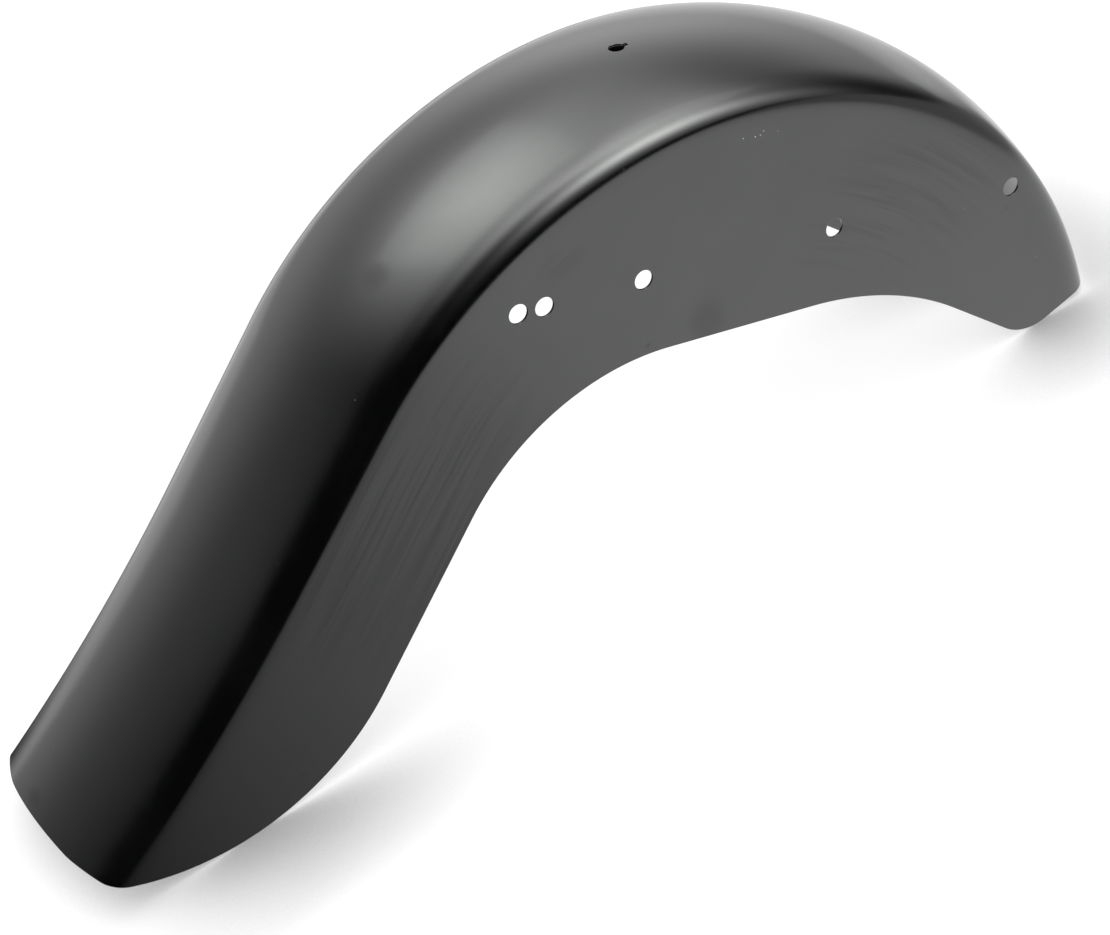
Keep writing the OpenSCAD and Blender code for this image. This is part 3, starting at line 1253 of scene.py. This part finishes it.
@dataclass
class Fender:
    """The stretched rear fender: one pressed sheet."""

    sizes: FenderSizes = field(default_factory=FenderSizes)
    line_step: float = 1 * MM
    section_step: float = 0.25 * MM
    wall_reach: float = 240 * MM

    def __post_init__(self) -> None:
        """Works out the cross-section, the centre line and the side outline."""
        self.section = CrossSection(self.sizes)
        self.line = CentreLine(self.sizes)
        self.outline = SideOutline(self.sizes, self.line)

    @staticmethod
    def _curve(name: str, points: list[Place]) -> bpy.types.Object:
        """Makes a helper curve.

        Args:
            name: name of the curve.
            points: the points that it goes through.

        Returns:
            The curve, in the scene.
        """
        data = bpy.data.curves.new(name, "CURVE")
        data.dimensions = "3D"
        spline = data.splines.new("POLY")
        spline.points.add(len(points) - 1)
        spline.points.foreach_set("co", np.array([(*p, 1.0) for p in points]).ravel())
        curve = bpy.data.objects.new(name, data)
        bpy.context.scene.collection.objects.link(curve)
        return curve

    def _centre_curve(self) -> bpy.types.Object:
        """Draws the centre line in the fender's own frame.

        Returns:
            The line, from its front.
        """
        middle = self.outline.middle_x()
        runs = np.linspace(0.0, self.line.length, round(self.line.length / self.line_step))
        places = [self.line.at(run) for run in runs]
        return self._curve("centre_line", [(x - middle, 0.0, z) for x, z in places])

    def _section_curve(self) -> bpy.types.Object:
        """Draws the cross-section, with walls that reach past the lower edge.

        Returns:
            The section, from the right wall to the left.
        """
        reach = self.section.half_run
        rolls = np.linspace(-reach, reach, round(2 * reach / self.section_step))
        runs = [-reach - self.wall_reach, *rolls, reach + self.wall_reach]
        places = [self.section.point(run) for run in runs]
        return self._curve("cross_section", [(0.0, y, rise) for y, rise in places])

    def build(self, coat: bpy.types.Material) -> bpy.types.Object:
        """Cuts the blank and forms it.

        Args:
            coat: material of the whole sheet.

        Returns:
            The formed sheet as a plain mesh object.
        """
        blank = FlatBlank(self.sizes, self.section, self.line, self.outline).build()
        sheet = bpy.data.objects.new("fender_sheet", blank)
        bpy.context.scene.collection.objects.link(sheet)
        curves = self._centre_curve(), self._section_curve()
        former = FormingTree()
        tree = former.build()
        modifier = sheet.modifiers.new("forming", "NODES")
        modifier.node_group = tree
        values = {"Centre Line": curves[0], "Cross Section": curves[1], "Coat": coat,
                  "Section Middle": self.section.half_run + self.wall_reach}
        for item in tree.interface.items_tree:
            if item.in_out == "INPUT" and item.name in values:
                modifier[item.identifier] = values[item.name]
        evaluated = sheet.evaluated_get(bpy.context.evaluated_depsgraph_get())
        formed = bpy.data.meshes.new_from_object(evaluated)
        sheet.modifiers.clear()
        sheet.data = formed
        formed.name = "fender_sheet"
        for curve in curves:
            bpy.data.objects.remove(curve)
        self._smooth(formed, former.normal_attribute)
        formed.attributes.remove(formed.attributes[former.turn_attribute])
        return sheet

    @staticmethod
    def _smooth(mesh: bpy.types.Mesh, attribute: str) -> None:
        """Gives the mesh the sheet's true normals on both faces.

        Args:
            mesh: the formed sheet.
            attribute: name of the attribute that holds the outward normals.
        """
        count = len(mesh.vertices)
        mesh.shade_smooth()
        true = np.empty(count * 3)
        mesh.attributes[attribute].data.foreach_get("vector", true)
        layers = np.empty(count, int)
        mesh.attributes["skin"].data.foreach_get("value", layers)
        normals = np.empty(count * 3)
        mesh.vertex_normals.foreach_get("vector", normals)
        true, normals = true.reshape(-1, 3), normals.reshape(-1, 3)
        normals[layers == Skin.OUTSIDE.value] = true[layers == Skin.OUTSIDE.value]
        normals[layers == Skin.INSIDE.value] = -true[layers == Skin.INSIDE.value]
        mesh.normals_split_custom_set_from_vertices(normals.tolist())
        for name in (attribute, "skin"):
            mesh.attributes.remove(mesh.attributes[name])


def compass(azimuth: float, elevation: float) -> Vector:
    """Direction at an azimuth from +Y towards +X and an elevation, both in degrees."""
    turn, lift = math.radians(azimuth), math.radians(elevation)
    level = math.cos(lift)
    return Vector((math.sin(turn) * level, math.cos(turn) * level, math.sin(lift)))


@dataclass(frozen=True)
class SoftBox:
    """A soft box that faces the fender from far away."""

    name: str
    azimuth: float
    elevation: float
    width: float
    height: float
    radiance: float
    distance: float = 4.0
    aim: Place = (0.0, 0.0, 0.2)

    def build(self) -> bpy.types.Object:
        """Hangs the soft box.

        Returns:
            The lamp, which the camera doesn't see.
        """
        data = bpy.data.lights.new(self.name, "AREA")
        data.shape = "RECTANGLE"
        data.size, data.size_y = self.width, self.height
        data.energy = self.radiance * math.pi * self.width * self.height
        lamp = bpy.data.objects.new(self.name, data)
        away = compass(self.azimuth, self.elevation)
        lamp.location = Vector(self.aim) + self.distance * away
        lamp.rotation_euler = away.to_track_quat("Z", "Y").to_euler()
        lamp.visible_camera = False
        bpy.context.scene.collection.objects.link(lamp)
        return lamp


@dataclass(frozen=True)
class Glow:
    """A wide patch of light on the studio's walls or ceiling, with a soft edge."""

    azimuth: float
    elevation: float
    strength: float
    tightness: float

    def build(self, canvas: NodeCanvas, way: Socket) -> Socket:
        """Adds the patch to the world.

        Args:
            canvas: the world's node tree.
            way: direction from the fender.

        Returns:
            The patch's light in that direction.
        """
        middle = compass(self.azimuth, self.elevation)
        towards = canvas.vector_number("DOT_PRODUCT", way, middle)
        fall = canvas.math("MULTIPLY", canvas.math("SUBTRACT", towards, 1.0), self.tightness)
        return canvas.math("MULTIPLY", canvas.math("EXPONENT", fall), self.strength)


@dataclass(frozen=True)
class Studio:
    """Floor, lamps, world and camera of a plain studio."""

    azimuth: float = 21.893
    elevation: float = 39.314
    roll: float = -17.931
    distance: float = 1851.9 * MM
    target: Place = (-0.34 * MM, 0.0, 58.18 * MM)
    lens: float = 82.64
    sensor: float = 36.0
    floor_half: float = 6.0
    floor_grey: float = 0.8
    shadow_grey: float = 0.12
    # The shadow near the fender is painted: ambient occlusion turned towards the shade's way
    # darkens the floor's emission.
    contact_reach: float = 110 * MM
    contact_samples: int = 3
    contact_span: Span = (0.45, 0.93)
    contact_light: Span = (0.14, 0.93)
    shade_azimuth: float = -40.0
    shade_elevation: float = 45.0
    boxes: tuple[SoftBox, ...] = (
        SoftBox("key", -8.0, 64.0, 2.6, 2.6, 0.48),
        SoftBox("front", 115.0, 57.0, 2.6, 2.6, 0.37),
    )
    glows: tuple[Glow, ...] = (
        Glow(-72.0, 9.0, 1.15, 28.0),
        Glow(-16.0, 11.0, 0.74, 6.5),
        Glow(32.0, 14.0, 1.26, 12.0),
        Glow(67.0, 8.0, 0.60, 11.0),
        Glow(144.0, 16.0, 1.06, 22.0),
        Glow(36.0, 45.0, 0.61, 36.0),
        Glow(-8.0, 65.0, 4.02, 14.0),
        Glow(69.0, 54.0, 1.30, 32.0),
        Glow(123.0, 61.0, 3.86, 13.0),
        Glow(150.5, 33.5, 6.95, 26.0),
        Glow(-162.0, 77.0, 1.94, 22.0),
    )
    # The floor in the coat's reflections is painted: an emission for glossy rays along these stops,
    # dimmed at the tail end as painted shade, cut off at the table's front edge.
    gloss_stops: tuple[Span, ...] = (
        (-0.45, 0.07), (-0.30, 0.41), (-0.15, 0.71), (0.0, 0.98), (0.20, 1.33), (0.90, 0.45),
    )
    table_front: float = -0.80
    table_slant: float = 0.80
    table_softness: float = 0.05
    table_back: Span = (0.15, 0.60)
    behind_table: float = 1.05

    def camera(self) -> bpy.types.Object:
        """Sets the camera up at the photograph's view angle.

        Returns:
            The camera.
        """
        turn, lift, lean = (math.radians(a) for a in (self.azimuth, self.elevation, self.roll))
        right = Vector((math.cos(turn), -math.sin(turn), 0.0))
        rise = math.sin(lift)
        up = Vector((math.sin(turn) * rise, math.cos(turn) * rise, math.cos(lift)))
        back = right.cross(up)
        leaned = math.cos(lean) * right + math.sin(lean) * up
        upright = back.cross(leaned)
        data = bpy.data.cameras.new("camera")
        data.sensor_width = self.sensor
        data.lens = self.lens
        camera = bpy.data.objects.new("camera", data)
        place = Vector(self.target) + self.distance * back
        axes = Matrix((leaned, upright, back)).transposed().to_4x4()
        camera.matrix_world = Matrix.Translation(place) @ axes
        bpy.context.scene.collection.objects.link(camera)
        bpy.context.scene.camera = camera
        return camera

    def floor(self) -> bpy.types.Object:
        """Lays the white floor that the fender stands on.

        Returns:
            The floor.
        """
        half = self.floor_half
        mesh = bpy.data.meshes.new("floor")
        corners = [(-half, -half, 0), (half, -half, 0), (half, half, 0), (-half, half, 0)]
        mesh.from_pydata(corners, [], [(0, 1, 2, 3)])
        floor = bpy.data.objects.new("floor", mesh)
        bpy.context.scene.collection.objects.link(floor)
        mesh.materials.append(self._floor_white())
        return floor

    def _floor_white(self) -> bpy.types.Material:
        """Makes the white of the floor.

        Returns:
            The material: white with a painted shadow near the fender for the camera, matt for the
            light, and for reflections a painted lit table with painted shade at its tail end.
        """
        material = empty_material("floor_white")
        canvas = NodeCanvas(material.node_tree)
        matt, shadow = (canvas.add("ShaderNodeBsdfDiffuse", {"Color": (grey, grey, grey, 1.0)})
                        for grey in (self.floor_grey, self.shadow_grey))
        path = canvas.add("ShaderNodeLightPath").outputs
        # The floor's white is an emission, darkened by a painted shadow near the fender.
        lit = canvas.add("ShaderNodeEmission", {"Strength": self._painted_contact_shadow(canvas)})
        white = canvas.add("ShaderNodeAddShader", {0: shadow.outputs[0], 1: lit.outputs[0]})
        seen = canvas.mixed_shader(path["Is Camera Ray"], matt, white)
        # Glossy rays see a painted reflection: an emission, dimmed at the tail end as painted
        # shade.
        table = canvas.add("ShaderNodeEmission", {"Strength": self._gloss(canvas)})
        both = canvas.mixed_shader(path["Is Glossy Ray"], seen, table)
        canvas.add("ShaderNodeOutputMaterial", {"Surface": both.outputs[0]})
        return material

    def _painted_contact_shadow(self, canvas: NodeCanvas) -> Socket:
        """Paints a shadow into the floor's glow where the fender hides the light from behind its
        left.

        Args:
            canvas: the floor's node tree.

        Returns:
            The brightness, with the painted shadow.
        """
        open_way = canvas.joined(*compass(self.shade_azimuth, self.shade_elevation))
        near = canvas.add("ShaderNodeAmbientOcclusion",
                          {"Distance": self.contact_reach, "Normal": open_way},
                          samples=self.contact_samples).outputs["AO"]
        return canvas.mapped(near, self.contact_span, self.contact_light)

    def _gloss(self, canvas: NodeCanvas) -> Socket:
        """Works out the floor's painted brightness as the coat reflects it.

        Args:
            canvas: the floor's node tree.

        Returns:
            The painted brightness of a lit table with painted shade at its tail end, and of what
            lies behind it.
        """
        place = canvas.split(canvas.add("ShaderNodeTexCoord").outputs["Object"])
        low, high = self.gloss_stops[0][0], self.gloss_stops[-1][0]
        ramp = canvas.add("ShaderNodeFloatCurve", {1: canvas.mapped(place[0], (low, high))})
        curve = ramp.mapping.curves[0]
        peak = max(level for _, level in self.gloss_stops)
        stops = [((x - low) / (high - low), level / peak) for x, level in self.gloss_stops]
        curve.points[0].location, curve.points[-1].location = stops[0], stops[-1]
        for stop in stops[1:-1]:
            curve.points.new(*stop)
        ramp.mapping.update()
        along = canvas.math("MULTIPLY", ramp.outputs[0], peak)
        edge = canvas.math("MULTIPLY_ADD", place[0], self.table_slant, place[1])
        front = canvas.mapped(edge, (self.table_front - self.table_softness,
                                     self.table_front + self.table_softness))
        behind = canvas.mapped(place[1], self.table_back)
        table = canvas.math("MULTIPLY", along, front)
        return canvas.mixed(behind, table, self.behind_table)

    def world(self) -> bpy.types.World:
        """Lights the studio's walls and ceiling, and shows the camera plain white.

        Returns:
            The world.
        """
        world = bpy.data.worlds.new("studio")
        bpy.context.scene.world = world
        world.use_nodes = True
        world.node_tree.nodes.clear()
        canvas = NodeCanvas(world.node_tree)
        way = canvas.add("ShaderNodeTexCoord").outputs["Generated"]
        patches = [glow.build(canvas, way) for glow in self.glows]
        total = reduce(partial(canvas.math, "ADD"), patches)
        light, white = (canvas.add("ShaderNodeBackground",
                                   {"Color": (1.0, 1.0, 1.0, 1.0), "Strength": strength})
                        for strength in (total, 1.0))
        seen = canvas.add("ShaderNodeLightPath").outputs["Is Camera Ray"]
        both = canvas.mixed_shader(seen, light, white)
        canvas.add("ShaderNodeOutputWorld", {"Surface": both.outputs[0]})
        return world

    def build(self) -> None:
        """Builds the whole studio."""
        self.camera()
        self.floor()
        for box in self.boxes:
            box.build()
        self.world()


def main() -> None:
    """Builds the fender and the studio, and reports each piece."""
    logging.basicConfig(level=logging.INFO, format="%(name)s: %(message)s")
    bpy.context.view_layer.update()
    bpy.context.scene.view_settings.view_transform = "Standard"
    fender = Fender()
    sheet = fender.build(PrimerCoat(fender.sizes, fender.outline.middle_x()).build())
    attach(sheet, "root")
    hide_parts("fender")
    LOG.info("%s has %d faces", sheet.name, len(sheet.data.polygons))
    Studio().build()


if __name__ == "__main__":
    main()
